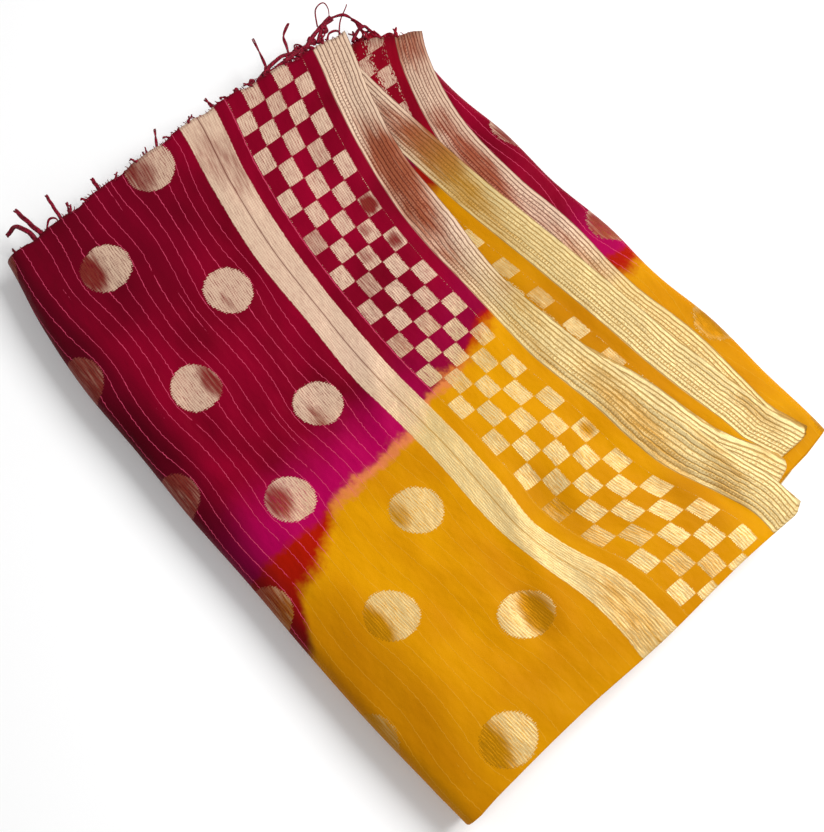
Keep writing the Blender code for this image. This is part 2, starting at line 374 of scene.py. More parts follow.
# Leaves 2 to 6 on the flat cloth: which way each runs, and how far along it the leaf's X of zero lies.
# On leaf 6 the body cloth is drawn a little together, and so is the border near the cut end.
LEAF_UNROLL = {2: (-1, 628.0), 3: (1, 1006.0), 4: (-1, 1404.0), 5: (1, 1794.8), 6: (-1, 2168.8)}
LEAF_6_STRETCH = 1.034
GATHER = 0.38
GATHER_START = -88
GATHER_REACH = 60.0


def unrolled(leaves, x, y, z):
    """Where each point of a row lies on the flat cloth: along its length, and in from the selvedge."""
    steps = np.hypot(np.diff(y), np.diff(z))
    inwards = np.concatenate([[0.0], np.cumsum(steps)])
    leaf = leaves[0]
    if leaf > 1:
        sign, offset = LEAF_UNROLL[leaf]
        if leaf == 6:
            gather = GATHER * np.clip((GATHER_START - x) / GATHER_REACH, 0, 1)
            inwards = inwards + gather * np.interp(inwards, (0, BORDER_WIDE, BAND_END), (0, BORDER_WIDE, 0))
            stretched = BAND_END + (inwards - BAND_END) * LEAF_6_STRETCH
            inwards = np.where(inwards > BAND_END, stretched, inwards)
        return offset + sign * x, inwards
    edge = free_edge(1, x)
    marks = [edge] + [curve_through(LAYOUT["x"], LAYOUT[name], x) for name in LAYOUT_COLUMNS[1:6]]
    depths = [0.0, BORDER_WIDE, BAND_START, BAND_END, DOT_COLUMN, DOT_COLUMN + DOT_SPACING]
    top = STRETCH == 0
    placed = np.zeros_like(x)
    for near, far, shallow, deep in zip(marks, marks[1:], depths, depths[1:]):
        t = (near - y) / (near - far)
        placed = np.where(t >= 0, shallow + (deep - shallow) * t, placed)
    last = int(np.nonzero(top)[0][-1])
    inwards = np.where(top, placed, placed[last] + inwards - inwards[last])
    phase_2 = curve_through(LAYOUT["x"], LAYOUT["phase_2"], x)
    phase_1 = curve_through(LAYOUT["x"], LAYOUT["phase_1"], x)
    blend = np.clip((inwards - DOT_COLUMN) / DOT_SPACING, 0, 1)
    return DOT_STEP * (phase_2 + (phase_1 - phase_2) * blend), inwards


# Where the dye changes on the top leaf, as X at places along Y: the end of the crimson, and the start of
# the amber.
DYE_COLUMNS = ("y", "crimson_end", "amber_start")
DYE_ROWS = (
    (-170, 52, 112),
    (-146, 52, 104),
    (-134, 50, 77),
    (-118, 49, 73),
    (-105, 49, 66),
    (-92, 48, 54),
    (-67, 47, 49),
    (-26, 44, 45),
    (-8, 36, 37),
    (4, 30, 34),
    (31, 20, 29),
    (54, 10, 21),
    (115, -9, 4),
)
DYE = table(DYE_COLUMNS, DYE_ROWS)

# How ragged the woven pattern looks on each leaf, and the two places of the dye on leaves 2 to 6.
LEAF_RAGGED = {1: 0.4, 2: 0.8, 3: 0.8, 4: 0.8, 5: 1.1, 6: 0.9}
LEAF_DYE = {2: (40.0, 44.0), 3: (12.0, 18.0), 4: (12.0, 18.0), 5: (-90.0, -68.0), 6: (30.0, 46.0)}

# Painted shade: where the metallic thread is painted darker, as if turned from the light, and where the
# silk is painted darker.
PAINTED_SHADE_COLUMNS = ("leaf", "x", "y", "along", "across", "thread", "silk")
PAINTED_SHADE_ROWS = (
    (1, -153, -114, 16, 8.5, 1.1, 0.1),
    (1, -52, -98.5, 15, 5.5, 1.0, 0.0),
    (1, 28, -112, 12, 8, 0.95, 0.0),
    (1, 115, -114, 17, 8, 1.15, 0.3),
    (1, 198, -107, 20, 10, 1.15, 0.5),
    (1, -190, -54, 16, 12, 0.75, 0.0),
    (1, -86, -62, 10, 3, 0.5, 0.0),
    (1, 6, -65, 13, 4, 0.7, 0.0),
    (1, 76, -66, 10, 6, 0.75, 0.0),
    (1, 164, -42, 16, 8.5, 1.15, 0.5),
    (1, 122, 6, 24, 9, 0.35, 0.5),
    (1, 160, -134, 80, 22, 0.25, 0.8),
    (1, 206, -50, 18, 50, 0.1, 0.3),
    (1, -176, -96, 62, 55, 0.1, 0.6),
    (1, 172, 66, 24, 9, 0.1, 0.5),
    (1, -165, -8, 32, 14, 0.45, 0.0),
    (1, 196, -4, 34, 13, 0.5, 0.0),
    (1, -85, 42, 6, 5, 1.0, 0.0),
    (1, -73, 30, 6, 5, 0.8, 0.0),
    (1, -56, 39, 6, 5, 0.9, 0.0),
    (1, -58, 19, 6, 5, 0.5, 0.0),
    (1, 105, 47, 6, 5, 1.0, 0.2),
    (1, -122, 77, 20, 8, 0.6, 0.0),
    (1, -98, 72, 24, 13, 1.0, 0.0),
    (1, -70, 65, 26, 12, 0.8, 0.0),
    (1, -42, 59, 26, 9, 0.5, 0.0),
    (1, -12, 56, 24, 6, 0.35, 0.0),
    (1, 20, 70, 30, 6, 0.35, 0.0),
    (1, 50, 58, 30, 4, 0.4, 0.0),
    (1, 118, 72, 50, 11, 0.6, 0.0),
    (1, 165, 93, 24, 5, 0.45, 0.0),
    (1, 180, 84, 20, 5, 0.5, 0.0),
    (3, 172, 116, 20, 5, 0.45, 0.0),
    (5, -122, 93, 22, 9, 0.6, 0.0),
    (5, -94, 99, 26, 12, 0.95, 0.0),
    (5, -62, 97, 26, 11, 0.65, 0.0),
    (5, -34, 95, 30, 7, 0.35, 0.0),
    (5, -10, 88, 90, 26, 0.15, 0.6),
    (5, 158, 131, 20, 6, 0.4, 0.0),
    (6, -170, 136, 26, 20, 0.7, 0.2),
    (6, -106, 118, 14, 8, 0.6, 0.0),
    (6, -68, 115, 32, 9, 0.9, 0.0),
    (6, -30, 112, 34, 6, 0.5, 0.0),
    (6, 10, 122, 40, 5, 0.4, 0.0),
    (6, -75, 147, 14, 10, 0.9, 0.1),
    (6, 14, 148, 15, 10, 1.1, 0.2),
    (6, 101, 153, 15, 10, 1.15, 0.4),
    (6, 190, 150, 22, 16, 1.0, 0.4),
)

# The fullest painted shade of a thread, the dye in the end folds, the painted shade on the left slope, and
# the worn end of leaf 6.
FULLEST_THREAD_SHADE = 1.15
FOLD_DYE = 40.0
SHADED_SLOPE_START = -128
SHADED_SLOPE_REACH = 16.0
SLOPE_THREAD_SHADE = 0.9
WORN_RAGGED = 2.2
WORN_START = -125
WORN_REACH = 20.0


def dye_and_painted_shade(leaves, x, y):
    """How far each point lies past the two dye lines, in millimetres, how much painted shade darkens its
    metal thread, how ragged its pattern is and how much painted shade darkens its silk."""
    if leaves == (1,):
        first = np.interp(y, DYE["y"], DYE["crimson_end"])
        second = np.interp(y, DYE["y"], DYE["amber_start"])
    elif len(leaves) == 1:
        first, second = LEAF_DYE[leaves[0]]
    else:
        first = second = FOLD_DYE
    turn = np.zeros_like(x)
    shade = np.zeros_like(x)
    for row in PAINTED_SHADE_ROWS:
        spot = dict(zip(PAINTED_SHADE_COLUMNS, row))
        if spot["leaf"] in leaves:
            far = ((x - spot["x"]) / spot["along"]) ** 2 + ((y - spot["y"]) / spot["across"]) ** 2
            amount = np.exp(-far ** 2)
            share = np.minimum(spot["thread"] / FULLEST_THREAD_SHADE, 1.0)
            turn = FULLEST_THREAD_SHADE - (FULLEST_THREAD_SHADE - turn) * (1 - share * amount)
            shade = np.maximum(shade, spot["silk"] * np.sqrt(amount))
    # The left slope faces away from the light, so its thread and silk get painted shade.
    left_slope_shade = np.clip((SHADED_SLOPE_START - y) / SHADED_SLOPE_REACH, 0, 1)
    turn = np.maximum(turn, SLOPE_THREAD_SHADE * left_slope_shade)
    shade = np.maximum(shade, left_slope_shade)
    worn = np.clip((WORN_START - x) / WORN_REACH, 0, 1)
    ragged = LEAF_RAGGED[leaves[0]] + (WORN_RAGGED if leaves[0] == LEAVES else 0.0) * worn
    return (x - first), (x - second), turn, ragged, shade


def sheet_rows():
    """All the rows of the sheet, from the upper cut end to the lower one."""
    rows = []
    for leaf in range(1, LEAVES + 1):
        start, finish = FOLD_NAMES[leaf - 1], FOLD_NAMES[leaf]
        count = LEAF_ROWS[leaf]
        for number in range(count + 1):
            x, y, z = sheet_row((leaf,), leaf_level(leaf), start, finish, number / count)
            rows.append((x, y, z, unrolled((leaf,), x, y, z), dye_and_painted_shade((leaf,), x, y)))
        if leaf == LEAVES:
            break
        middle = (leaf_level(leaf) + leaf_level(leaf + 1)) / 2
        radius = LEAF_PITCH / 2
        along_before, inwards_before = rows[-1][3]
        for bend in range(1, FOLD_ROWS):
            angle = math.pi * bend / FOLD_ROWS
            level = middle + radius * math.cos(angle)
            inset = -radius * math.sin(angle)
            x, y, z = sheet_row((leaf, leaf + 1), level, finish, finish, 1.0, inset)
            flat = (along_before + radius * angle, inwards_before)
            rows.append((x, y, z, flat, dye_and_painted_shade((leaf, leaf + 1), x, y)))
    return rows


def sheet_mesh(name, rows):
    """The rows as an open mesh, with the flat cloth's UV map, and its dye, painted shade and raggedness as
    attributes.
    """
    across = len(rows[0][0])
    x = np.concatenate([row[0] for row in rows])
    y = np.concatenate([row[1] for row in rows])
    z = np.concatenate([row[2] for row in rows]) * relief(x, y)
    points = np.stack([x - MIDDLE_X, y - MIDDLE_Y, z], axis=1) * MM
    corner = (np.arange(len(rows) - 1)[:, None] * across + np.arange(across - 1)[None, :]).ravel()
    quads = np.stack([corner, corner + 1, corner + across + 1, corner + across], axis=1)
    mesh = bpy.data.meshes.new(name)
    mesh.from_pydata(points.tolist(), [], quads.tolist())
    flat = np.stack([np.concatenate([row[3][k] for row in rows]) for k in (0, 1)], axis=1) * MM
    uv_map = mesh.uv_layers.new(name="flat_cloth")
    uv_map.data.foreach_set("uv", flat[quads.ravel()].astype(np.float32).ravel())
    # The two dye distances, the metal thread's painted shade and the pattern's raggedness, as one colour
    # attribute.
    state = np.stack([np.concatenate([row[4][k] for row in rows]) for k in (0, 1, 2, 3)], axis=1)
    attribute = mesh.attributes.new("dye_shade_and_fray", "FLOAT_COLOR", "POINT")
    attribute.data.foreach_set("color", state.astype(np.float32).ravel())
    # The silk's painted shade, as its own attribute.
    depth = mesh.attributes.new("painted_silk_shade", "FLOAT", "POINT")
    depth.data.foreach_set("value", np.concatenate([row[4][4] for row in rows]).astype(np.float32))
    mesh.polygons.foreach_set("use_smooth", [True] * len(mesh.polygons))
    return mesh


class Signal:
    """A number that a material works out at each point of the surface."""

    def __init__(self, tree, socket):
        self.tree = tree
        self.socket = socket

    def math(self, operation, *others):
        node = self.tree.nodes.new("ShaderNodeMath")
        node.operation = operation
        for socket, value in zip(node.inputs, (self,) + others):
            if isinstance(value, Signal):
                self.tree.links.new(value.socket, socket)
            else:
                socket.default_value = value
        return Signal(self.tree, node.outputs[0])

    def __add__(self, other):
        return self.math("ADD", other)

    def __sub__(self, other):
        return self.math("SUBTRACT", other)

    def __mul__(self, other):
        return self.math("MULTIPLY", other)

    def __truediv__(self, other):
        return self.math("DIVIDE", other)

    def flipped(self):
        return self.math("MULTIPLY_ADD", -1.0, 1.0)

    def step(self, low, high):
        """0 below low, 1 above high, and smooth between them."""
        node = self.tree.nodes.new("ShaderNodeMapRange")
        node.interpolation_type = "SMOOTHSTEP"
        self.tree.links.new(self.socket, node.inputs["Value"])
        node.inputs["From Min"].default_value = low
        node.inputs["From Max"].default_value = high
        return Signal(self.tree, node.outputs["Result"])

    def between(self, low, high, soft):
        return self.step(low - soft, low + soft) * self.step(high - soft, high + soft).flipped()


def noise(along, inwards, size_along, size_inwards, detail=2.0, seed=0.0):
    """Soft noise from -1 to 1 on the flat cloth, with its grain sizes in millimetres."""
    tree = along.tree
    place = tree.nodes.new("ShaderNodeCombineXYZ")
    tree.links.new((along / size_along).socket, place.inputs[0])
    tree.links.new((inwards / size_inwards).socket, place.inputs[1])
    place.inputs[2].default_value = seed
    texture = tree.nodes.new("ShaderNodeTexNoise")
    texture.inputs["Scale"].default_value = 1.0
    texture.inputs["Detail"].default_value = detail
    tree.links.new(place.outputs[0], texture.inputs["Vector"])
    wide = Signal(tree, texture.outputs["Fac"]).math("MULTIPLY_ADD", 4.0, -2.0)
    return wide.math("MAXIMUM", -1.0).math("MINIMUM", 1.0)


def mix(tree, amount, first, second):
    """One colour over another, by the amount of the second."""
    node = tree.nodes.new("ShaderNodeMix")
    node.data_type = "RGBA"
    tree.links.new(amount.socket, node.inputs[0])
    for socket, colour in ((node.inputs[6], first), (node.inputs[7], second)):
        if isinstance(colour, bpy.types.NodeSocket):
            tree.links.new(colour, socket)
        else:
            socket.default_value = colour
    return node.outputs[2]


def srgb(text):
    """A colour given as six hexadecimal digits."""
    parts = [int(text[i:i + 2], 16) / 255 for i in (0, 2, 4)]
    return tuple(c / 12.92 if c <= 0.04045 else ((c + 0.055) / 1.055) ** 2.4 for c in parts) + (1.0,)


CRIMSON_DEEP = srgb("640014")
CRIMSON = srgb("880024")
CRIMSON_REVERSE = srgb("94041c")
MAGENTA = srgb("a8004e")
BLEED_RED = srgb("a01400")
BLEED_PALE = srgb("d87c4a")
AMBER = srgb("d08e00")
AMBER_DEEP = srgb("bb7600")
# The pink metal thread, then its painted shade on the body and on the border.
ZARI_PINK = srgb("e6c8ac")
ZARI_PINK_PAINTED_SHADE = srgb("7c3226")
ZARI_COPPER_PAINTED_SHADE = srgb("94421c")
# The gold metal thread, then its painted shade.
ZARI_GOLD = srgb("d6c08a")
ZARI_GOLD_PAINTED_SHADE = srgb("a06c06")
# Grooves of the border and the band's centre line.
GROOVE_BROWN = srgb("a2762c")
GROOVE_RED = srgb("5e2016")
# Painted shade of the crimson and of the amber silk.
CRIMSON_PAINTED_SHADE = srgb("34000a")
AMBER_PAINTED_SHADE = srgb("985a00")
# Glitter line colours.
GLITTER_ROSE = srgb("d84c70")
GLITTER_GOLD = srgb("e0a838")


def woven_material(name, reverse):
    """Dyed silk with its woven metallic border, checks, band, dots and thin glitter lines."""
    material = bpy.data.materials.new(name)
    material.use_nodes = True
    tree = material.node_tree
    shader = tree.nodes["Principled BSDF"]
    uv = tree.nodes.new("ShaderNodeUVMap")
    uv.uv_map = "flat_cloth"
    parts = tree.nodes.new("ShaderNodeSeparateXYZ")
    tree.links.new(uv.outputs[0], parts.inputs[0])
    along = Signal(tree, parts.outputs[0]) * 1000.0
    inwards = Signal(tree, parts.outputs[1]) * 1000.0
    # The dye lines, the metal thread's painted shade and the pattern's raggedness, read from the mesh.
    state = tree.nodes.new("ShaderNodeAttribute")
    state.attribute_name = "dye_shade_and_fray"
    state_parts = tree.nodes.new("ShaderNodeSeparateXYZ")
    tree.links.new(state.outputs["Vector"], state_parts.inputs[0])
    past_crimson, past_red, painted_thread_shade = (Signal(tree, state_parts.outputs[k]) for k in range(3))
    # The silk's painted shade, read from the mesh.
    depth = tree.nodes.new("ShaderNodeAttribute")
    depth.attribute_name = "painted_silk_shade"
    shade = Signal(tree, depth.outputs["Fac"])

    fray = noise(along, inwards, 2.2, 0.8, 1.0, 3.1)
    weft = (along * (2 * math.pi / 1.3)).math("SINE")
    ragged = fray * Signal(tree, state.outputs["Alpha"]) * (1.3 if reverse else 1.0) + weft * 0.22
    ground = dyed_ground(tree, along, inwards, past_crimson, past_red, reverse)
    amber = past_red.step(-4.0, 5.0)
    gilt = past_red.step(-60.0, 14.0)
    # Painted shade on the silk: darker crimson or brown amber where the silk's painted shade lies.
    ground = mix(tree, shade * 0.7, ground, mix(tree, amber, CRIMSON_PAINTED_SHADE, AMBER_PAINTED_SHADE))

    border = inwards.step(BORDER_WIDE - 0.4, BORDER_WIDE + 0.5).flipped()
    band = (inwards + fray * 0.25).between(BAND_START, BAND_END, 0.3)
    checks, block_painted_shade = check_field(along, inwards, ragged)
    dots, from_dot, bend = dot_rows(along, inwards, ragged)
    zari = border.math("MAXIMUM", band).math("MAXIMUM", checks).math("MAXIMUM", dots)

    wobble = noise(along, inwards, 7.0, 5.0, 2.0, 4.9) * 0.45
    ribs = ((inwards + wobble) * (2 * math.pi / 1.45)).math("SINE")
    threads = noise(along, inwards, 4.0, 0.75, 2.0, 7.7)
    streaks = noise(along, inwards, 14.0, 1.3, 2.0, 1.3)
    border_ribs, beads = border_relief(along, inwards)
    # Painted shade on the metal thread: darker, streaked and varied block by block where it is taken to
    # turn from the light, copper on the border.
    turn = (painted_thread_shade + streaks * 0.24 + block_painted_shade * 0.45 * checks).step(0.0, 1.0)
    turn = turn * (border * 0.08).flipped()
    pink = mix(tree, turn, ZARI_PINK, mix(tree, border, ZARI_PINK_PAINTED_SHADE, ZARI_COPPER_PAINTED_SHADE))
    gold = mix(tree, turn, ZARI_GOLD, ZARI_GOLD_PAINTED_SHADE)
    metal = mix(tree, gilt, pink, gold)
    grooves = mix(tree, gilt, GROOVE_RED, GROOVE_BROWN)
    fine = ribs.step(-0.3, 1.0) * 0.34 + weft.step(-0.2, 1.0) * 0.15
    fine = fine + threads.step(-0.4, 1.0) * 0.42
    fine = fine * (band * 0.5).flipped() * border.flipped()
    metal = mix(tree, fine.math("MAXIMUM", dots * 0.16), metal, ground)
    hollows = (border_ribs.flipped() * 0.80).math("MAXIMUM", beads * 0.62) * border
    metal = mix(tree, hollows, metal, grooves)
    centre_line = inwards.between(*BAND_CENTRE_LINE, 0.2) * 0.75
    metal = mix(tree, centre_line, metal, grooves)

    glitter = glitter_lines(along, inwards, bend, from_dot)
    glitter = glitter * zari.flipped()
    glitter_colour = mix(tree, amber, GLITTER_ROSE, GLITTER_GOLD)
    faint = (amber * 0.62).flipped() * 0.8
    colour = mix(tree, glitter * faint, ground, glitter_colour)
    cover = zari * (0.80 if reverse else 0.93)
    colour = mix(tree, cover, colour, metal)
    tree.links.new(colour, shader.inputs["Base Color"])

    tree.links.new((zari * 0.22).socket, shader.inputs["Metallic"])
    roughness = (zari * -0.10) + 0.54 + threads * 0.05
    tree.links.new(roughness.socket, shader.inputs["Roughness"])
    shader.inputs["Sheen Weight"].default_value = 0.02
    shader.inputs["Sheen Tint"].default_value = (0.9, 0.4, 0.2, 1.0)
    shader.inputs["Sheen Roughness"].default_value = 0.45
    shader.inputs["Specular IOR Level"].default_value = 0.03
    weave = noise(along, inwards, 0.5, 0.5, 1.0, 5.5)
    height = zari * 0.35 + ribs * zari * border.flipped() * 0.10 + border_ribs * border * 0.9
    height = height + beads * border * -0.4 + weave * 0.05 + threads * zari * 0.12 + glitter * 0.2
    wrinkle = noise(along, inwards, 26.0, 15.0, 3.0, 9.2)
    height = height + wrinkle * 1.6
    bump = tree.nodes.new("ShaderNodeBump")
    bump.inputs["Strength"].default_value = 0.8
    bump.inputs["Distance"].default_value = 0.0004
    tree.links.new(height.socket, bump.inputs["Height"])
    tree.links.new(bump.outputs[0], shader.inputs["Normal"])
    return material


def dyed_ground(tree, along, inwards, past_crimson, past_red, reverse):
    """Crimson silk that bleeds through red into amber."""
    drift = noise(along, inwards, 16.0, 11.0, 3.0, 2.4)
    small = noise(along, inwards, 3.2, 3.2, 2.0, 8.4)
    first = past_crimson + drift * 3.2 + small * 1.4
    second = past_red + drift * 3.6 + small * 1.6
    shade = noise(along, inwards, 48.0, 34.0, 2.0, 6.6)
    crimson = mix(tree, (shade * 0.5 + 0.5), CRIMSON_DEEP, CRIMSON_REVERSE if reverse else CRIMSON)
    body = inwards.step(70.0, 112.0) * 0.62 + 0.25
    crimson = mix(tree, first.step(-48.0, -6.0) * body, crimson, MAGENTA)
    amber = mix(tree, (shade * 0.5 + 0.35), AMBER, AMBER_DEEP)
    colour = mix(tree, first.step(-2.0, 4.0), crimson, BLEED_RED)
    colour = mix(tree, second.step(-9.0, 3.5), colour, amber)
    meeting = (past_red - past_crimson).math("ABSOLUTE").step(-6.0, -1.0)
    narrow = (past_crimson - past_red).math("ABSOLUTE").step(3.0, 9.0).flipped()
    pale = second.between(-4.5, 0.5, 2.4) * narrow * meeting * 0.7
    return mix(tree, pale, colour, BLEED_PALE)


def check_field(along, inwards, ragged):
    """Checkerboard field of woven blocks, and a random amount of painted shade for each block's metal
    thread.
    """
    x = (along - CELL_SHIFT) / CELL_ALONG
    y = (inwards + ragged - FIELD_START) / CELL_ACROSS
    wave = (x * math.pi).math("SINE") * (y * math.pi).math("SINE")
    inside = inwards.between(FIELD_START, FIELD_START + FIELD_CELLS * CELL_ACROSS, 0.2)
    blocks = wave.step(-0.01, 0.04) * inside
    number = x.math("FLOOR") * 1.7 + y.math("FLOOR") * 5.3
    shade = noise(number, number, 1.3, 1.9, 0.0, 4.4)
    return blocks, shade


def dot_rows(along, inwards, ragged):
    """Half-drop rows of round dots, the distance from the nearest, and how it bends the lines near it."""
    column = (inwards - DOT_COLUMN) / DOT_SPACING
    nearest = (column + 0.5).math("FLOOR")
    across = (column - nearest) * DOT_SPACING
    odd = nearest.math("FLOORED_MODULO", 2.0)
    place = along / DOT_STEP - odd * 0.5
    down = (place - (place + 0.5).math("FLOOR")) * DOT_STEP
    distance = (across * across + down * down).math("SQRT")
    body = inwards.step(BAND_END + 6.0, BAND_END + 7.0)
    dots = (distance + ragged * 1.6).step(DOT_RADIUS - 0.3, DOT_RADIUS + 0.3).flipped() * body
    near = (distance / -13.0).math("EXPONENT")
    return dots, distance, across * near * -0.9


def glitter_lines(along, inwards, bend, from_dot):
    """Thin glitter threads along the cloth, a little wavy and broken in places."""
    spacing = 7.25
    wavy = noise(along, inwards, 60.0, 30.0, 1.0, 0.7) * 0.7
    jagged = noise(along, inwards, 2.4, 3.0, 1.0, 6.1) * 0.34
    row = (inwards + bend + wavy + jagged) / spacing
    offset = (row - row.math("FLOOR") - 0.5).math("ABSOLUTE") * spacing
    line = offset.step(0.07, 0.22).flipped()
    broken = noise(along, inwards, 13.0, 5.0, 2.0, 2.9).step(-0.85, -0.6)
    body = inwards.step(BAND_END + 3.0, BAND_END + 4.0)
    edge_line = (inwards + jagged * 0.6).between(81.8, 82.3, 0.15)
    return line * broken * body + edge_line * 0.8


def border_relief(along, inwards):
    """Raised lengthwise ribs of the border, and its beaded rows between them."""
    uneven = noise(along, inwards, 40.0, 60.0, 2.0, 1.9) * 0.5
    uneven = uneven + noise(along, inwards, 6.0, 9.0, 2.0, 5.1) * 0.25
    ribs = ((inwards + uneven) * (math.pi / 2.5)).math("SINE").math("ABSOLUTE").step(0.0, 0.78)
    beads = (along * (2 * math.pi / 2.1)).math("SINE").step(-0.4, 0.8)
    rows = inwards.between(8.2, 9.8, 0.4) * 0.6 + inwards.between(14.4, 16.6, 0.4)
    rows = rows + inwards.between(19.0, 20.8, 0.4)
    rows = rows * (noise(along, inwards, 30.0, 8.0, 1.0, 3.7).step(-0.7, 0.3) * 0.8 + 0.2)
    knots = noise(along, inwards, 1.5, 0.9, 1.0, 8.8).step(0.25, 0.8)
    knots = knots * inwards.between(3.5, 21.0, 1.5) * 0.8
    return ribs, (beads * rows).math("MAXIMUM", knots)


sheet = bpy.data.objects.new("dupatta_sheet", sheet_mesh("dupatta_sheet", sheet_rows()))
bpy.context.scene.collection.objects.link(sheet)
sheet.data.materials.append(woven_material("woven_silk_face", reverse=False))
sheet.data.materials.append(woven_material("woven_silk_reverse", reverse=True))
thickness = sheet.modifiers.new("cloth_thickness", "SOLIDIFY")
thickness.thickness = CLOTH_THICK * MM
thickness.offset = 0.0
thickness.use_even_offset = True
thickness.material_offset = 1
thickness.material_offset_rim = 0
bpy.context.view_layer.objects.active = sheet
bpy.ops.object.modifier_apply(modifier="cloth_thickness")
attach(sheet, "root")
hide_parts("dupatta_cloth")

# The fringes: loose ends of the cloth's own lengthwise threads, twisted by use into small locks.
# They are rooted in both cut ends, and the higher ones droop towards the surface.
THREAD_RADIUS = 0.9
THREAD_SIDES = 5
THREAD_STEPS = 9
THREAD_TWIST = 7.0
THREAD_TAPER = 0.45
THREAD_WIND = 2.1
ROOT_DEPTH = 1.2
FIRST_ROOT = 4
LAST_ROOT = 3
DROOP = 0.28
DROOP_LENGTH = 25.0
DROOP_FLOOR = 0.5
LOCK_COLUMNS = ("y", "length", "sway", "threads")
TOP_LOCKS = (
    (-100, 6, 2, 2),
    (-88, 4, -2, 2),
    (-66, 4, 3, 2),
    (-49, 5, -3, 2),
    (-24, 4, -3, 2),
    (-8, 5, 3, 2),
    (22, 4, -4, 2),
    (38, 6, -2, 2),
    (49, 7, 6, 2),
    (65, 7, 3, 3),
    (73, 8, -5, 2),
    (86, 8, -6, 3),
    (93, 9, 7, 3),
)

# Long stray threads that leave the cut end, and small knots that the threads form there.
STRAYS = (
    # radius, threads, places that the stray passes
    (0.8, 2, ((-198, 52, 25.5), (-210, 56, 27), (-226, 60, 29))),
    (0.85, 2, ((-198, 69, 26), (-209, 74, 27), (-216, 77, 28), (-221, 85, 29))),
    (1.1, 3, ((-200, 44, 25.5), (-203, 55, 27), (-204, 66, 28), (-201, 77, 27))),
    (1.1, 3, ((-200, 51, 26), (-200, 61, 27), (-200, 72, 28), (-201, 84, 27))),
    (1.1, 4, ((-199, 81, 26.5), (-203, 90, 28), (-206, 100, 28.5), (-208, 109, 29))),
    (0.9, 3, ((-198, 91, 27), (-203, 97, 28), (-205, 103, 29), (-205, 109, 29))),
    (0.6, 1, ((-208, 98, 28), (-217, 104, 30), (-218, 111, 31), (-212, 111, 31), (-207, 108, 29))),
    (0.85, 2, ((-207, 107, 29), (-204, 116, 29), (-198, 120, 27), (-192, 124, 22))),
    (0.65, 1, ((-192, 103, 26), (-202, 113, 28), (-209, 123, 29))),
    (0.65, 2, ((-196, 97, 26.5), (-199, 101, 27.5), (-197, 106, 28), (-191, 106, 27), (-187, 104, 24))),
    (0.9, 3, ((-189, 112, 20.5), (-192, 118, 22), (-192, 124, 23), (-187, 126, 21))),
    (1.3, 3, ((-194, -126, 20), (-203, -127, 24), (-213, -131, 21), (-215, -138, 15))),
    (1.3, 3, ((-192, -120, 21), (-205, -123, 25), (-222, -125, 22))),
    (0.95, 3, ((-194, -107, 22), (-206, -106, 26), (-216, -105, 26))),
    (0.6, 2, ((-195, -120, 22), (-200, -113, 27), (-197, -109, 27), (-194, -114, 22))),
    (0.8, 2, ((-194, -102, 24), (-204, -98, 26))),
    (1.15, 3, ((-193, -78, 24.5), (-208, -77, 26))),
    (0.75, 2, ((-198, -35, 25.5), (-212, -27, 27))),
    (1, 2, ((-199, 11, 26), (-210, 10, 27))),
)
TANGLES = (
    # x, y, z, size
    (-201, 78, 26, 4.4),
    (-201, 53, 26, 2.6),
    (-198, -57, 25, 2.4),
    (-203, 29, 26, 1.6),
    (-202, 41, 26, 1.8),
    (-202, 89, 27, 2.6),
    (-203, 100, 28, 2.4),
    (-193, -115, 22, 1.8),
    (-198, -33, 25, 1.6),
)

# The small locks that stand along the rest of the cut ends, and the short fray between them.
LOCK_SPACING = 11.0
LOCK_LENGTHS = (7, 20)
LOCK_SWAY = 5
FRAY_SPACINGS = (2.4, 5.0, 5.0)
FRAY_LENGTHS = (1.6, 3.8)
FRAY_SWAY = 2.0
FRAY_RADIUS = 0.4
KNOT_RADIUS = 0.85
WHOLE_WIND = 6.28
KNOT_WIND = 1.9
KNOT_STEPS = 7
KNOT_TURN = 0.85


def loop_path(points):
    """A long stray thread as a smooth curve through its points."""
    stations = np.arange(len(points), dtype=float)
    at = np.linspace(0, len(points) - 1, 5 * len(points))
    axes = [curve_through(stations, np.array([p[k] for p in points], float), at) for k in range(3)]
    return [Vector(p) for p in zip(*(axis.tolist() for axis in axes))]


def tangle_path(x, y, z, size, dice):
    """One uneven ring of thread in a knot."""
    start = dice.uniform(0, 2 * math.pi)
    tilt = dice.uniform(-0.6, 0.6)
    points = []
    for step in range(KNOT_STEPS):
        angle = start + step * KNOT_TURN
        reach = size * dice.uniform(0.45, 1.0)
        rise = reach * tilt * math.cos(angle)
        points.append((x + reach * math.cos(angle), y + reach * math.sin(angle), z + rise))
    return loop_path(points)


def fringe_row(cut, leaf):
    """The line where the cloth's cut end lies, as x, y, z for each place across the passes."""
    x, y, z = sheet_row((leaf,), leaf_level(leaf), cut, cut, 1.0)
    return x, y, z * relief(x, y)


def lock_places(row, pass_number, spacing, dice):
    """Roots spaced along one pass of the cut end."""
    x, y, z = row
    inside = np.nonzero(STRETCH == 2 * pass_number)[0]
    low, high = sorted((y[inside[0]], y[inside[-1]]))
    order = inside[np.argsort(y[inside])]
    places = []
    at = low + FIRST_ROOT
    while at < high - LAST_ROOT:
        places.append([float(np.interp(at, y[order], line[order])) for line in (x, y, z)])
        at += spacing * dice.uniform(0.6, 1.4)
    return places


def lock_path(root, length, sway, curl):
    """Centre line of a lock from its root outwards."""
    path = []
    for step in range(THREAD_STEPS + 1):
        t = step / THREAD_STEPS
        reach = length * (t - 0.12 * abs(curl) * t ** 3)
        drop = DROOP * (root[2] - DROOP_FLOOR) * (reach / DROOP_LENGTH) ** 2
        side = sway * t ** 1.7 + curl * 2.2 * math.sin(t * math.pi * 1.4)
        path.append(Vector((root[0] + ROOT_DEPTH - reach, root[1] + side, root[2] - drop)))
    return path


